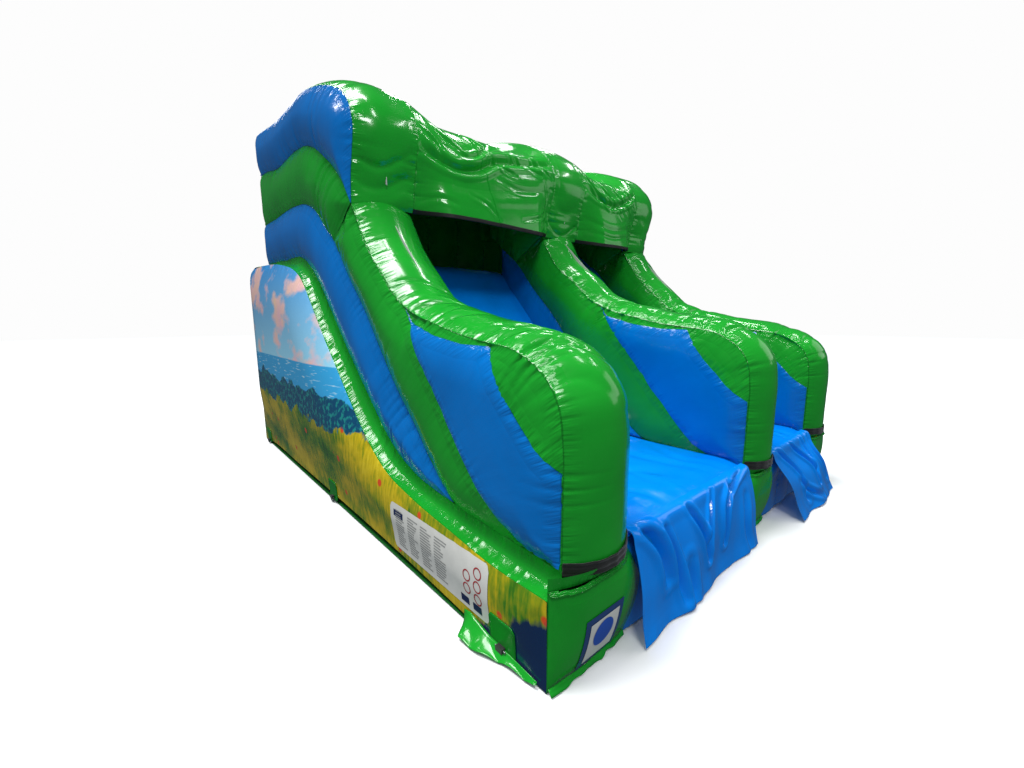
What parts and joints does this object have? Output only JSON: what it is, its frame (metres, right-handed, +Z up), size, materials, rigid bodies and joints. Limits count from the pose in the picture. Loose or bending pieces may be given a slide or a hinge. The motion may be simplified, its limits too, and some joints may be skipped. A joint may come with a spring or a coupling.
{
  "type": "inflatable platform slide",
  "caption": "Inflatable slide: 45 degree slide lane and climbing lane between wave-topped tube walls, a platform behind a fascia, front aprons, a blower sleeve and anchor rings.",
  "frame": {"origin": "centre of the whole object's footprint, on the ground", "axes": "+Z up, -Y towards the child who walks up to the front edge, +X to the right seen from the front"},
  "size_m": [3.404, 5.201, 3.14],
  "materials": {
    "green_pvc": "gloss",
    "blue_pvc": "gloss",
    "cover_vinyl": "gloss",
    "printed_pvc": "gloss",
    "black_webbing": "matte",
    "zinc_steel": "satin",
    "zip_nylon": "satin",
    "white_label": "satin",
    "blue_pocket": "gloss",
    "black_binding": "matte",
    "web_fabric": "satin",
    "sleeve_fabric": "satin"
  },
  "bodies": {
    "slide_unit": {"anchor_loops": "black_webbing", "anchor_patches": "green_pvc", "art_panel_left": "printed_pvc", "art_panel_right": "printed_pvc", "back_wall_chamber": "green_pvc", "base_webs": "web_fabric", "centre_arch_pillar": "green_pvc", "centre_base_chamber": "green_pvc", "centre_roof_spar": "green_pvc", "centre_wall_lower_tube": "blue_pvc", "centre_wall_slope_tube": "green_pvc", "column_strap_centre": "black_webbing", "column_strap_left": "black_webbing", "column_strap_right": "black_webbing", "fascia_hem": "black_binding", "fascia_sheet": "green_pvc", "flash_panels_centre": "blue_pvc", "flash_panels_left": "blue_pvc", "flash_panels_right": "blue_pvc", "info_label": "white_label", "inlet_sleeve": "sleeve_fabric", "inlet_strap": "black_webbing", "left_base_chamber": "green_pvc", "left_wall_arch_tube": "green_pvc", "left_wall_lower_tube": "blue_pvc", "left_wall_slope_tube": "green_pvc", "left_wall_top_chamber": "blue_pvc", "platform_chamber": "blue_pvc", "rear_buttress_chamber": "green_pvc", "right_base_chamber": "green_pvc", "right_wall_arch_tube": "green_pvc", "right_wall_lower_tube": "blue_pvc", "right_wall_slope_tube": "green_pvc", "right_wall_top_chamber": "blue_pvc", "roof_sheet": "green_pvc", "sign_card": "white_label", "sign_pocket": "blue_pocket", "slide_bed_chamber": "blue_pvc", "slide_cover_sheet": "cover_vinyl", "step_tube_1": "blue_pvc", "step_tube_2": "blue_pvc", "step_tube_3": "blue_pvc", "step_tube_4": "blue_pvc", "steps_bed_chamber": "blue_pvc", "steps_cover_sheet": "cover_vinyl", "wall_webs": "web_fabric", "zip_cover_band": "green_pvc", "zip_tape": "zip_nylon"},
    "slide_apron": {"slide_apron": "cover_vinyl"},
    "steps_apron": {"steps_apron": "cover_vinyl"},
    "zip_slider": {"zip_slider": "zip_nylon"},
    "zip_cover": {"zip_cover": "green_pvc"},
    "inlet_flap": {"inlet_flap": "web_fabric"},
    "d_ring_front_left": {"d_ring_front_left": "zinc_steel"},
    "d_ring_front_right": {"d_ring_front_right": "zinc_steel"},
    "d_ring_middle_left": {"d_ring_middle_left": "zinc_steel"},
    "d_ring_middle_right": {"d_ring_middle_right": "zinc_steel"},
    "d_ring_rear_left": {"d_ring_rear_left": "zinc_steel"},
    "d_ring_rear_right": {"d_ring_rear_right": "zinc_steel"}
  },
  "joints": [
    {"name": "slide_apron_lift", "type": "hinge", "parent": "slide_unit", "child": "slide_apron", "pos_m": [-0.5915, -2.3715, 0.461], "axis": [-1, 0, 0], "range_deg": [0, 110]},
    {"name": "steps_apron_lift", "type": "hinge", "parent": "slide_unit", "child": "steps_apron", "pos_m": [0.8075, -2.3715, 0.461], "axis": [-1, 0, 0], "range_deg": [0, 110]},
    {"name": "zip_slider_run", "type": "slide", "parent": "slide_unit", "child": "zip_slider", "axis": [1, 0, 0], "range_m": [0, 0.564]},
    {"name": "zip_cover_lift", "type": "hinge", "parent": "slide_unit", "child": "zip_cover", "pos_m": [-0.9, 2.0975, 0.479], "axis": [1, 0, 0], "range_deg": [0, 120]},
    {"name": "inlet_flap_swing", "type": "hinge", "parent": "slide_unit", "child": "inlet_flap", "pos_m": [0.9, 2.0655, 0.322], "axis": [-1, 0, 0], "range_deg": [0, 60]},
    {"name": "d_ring_front_left_swing", "type": "hinge", "parent": "slide_unit", "child": "d_ring_front_left", "pos_m": [-1.692, -2.1295, 0.04], "axis": [0, 1, 0], "range_deg": [0, 150]},
    {"name": "d_ring_front_right_swing", "type": "hinge", "parent": "slide_unit", "child": "d_ring_front_right", "pos_m": [1.692, -2.1295, 0.04], "axis": [0, -1, 0], "range_deg": [0, 150]},
    {"name": "d_ring_middle_left_swing", "type": "hinge", "parent": "slide_unit", "child": "d_ring_middle_left", "pos_m": [-1.692, -0.1695, 0.04], "axis": [0, 1, 0], "range_deg": [0, 150]},
    {"name": "d_ring_middle_right_swing", "type": "hinge", "parent": "slide_unit", "child": "d_ring_middle_right", "pos_m": [1.692, -0.1695, 0.04], "axis": [0, -1, 0], "range_deg": [0, 150]},
    {"name": "d_ring_rear_left_swing", "type": "hinge", "parent": "slide_unit", "child": "d_ring_rear_left", "pos_m": [-1.692, 1.8605, 0.04], "axis": [0, 1, 0], "range_deg": [0, 150]},
    {"name": "d_ring_rear_right_swing", "type": "hinge", "parent": "slide_unit", "child": "d_ring_rear_right", "pos_m": [1.692, 1.8605, 0.04], "axis": [0, -1, 0], "range_deg": [0, 150]}
  ]
}
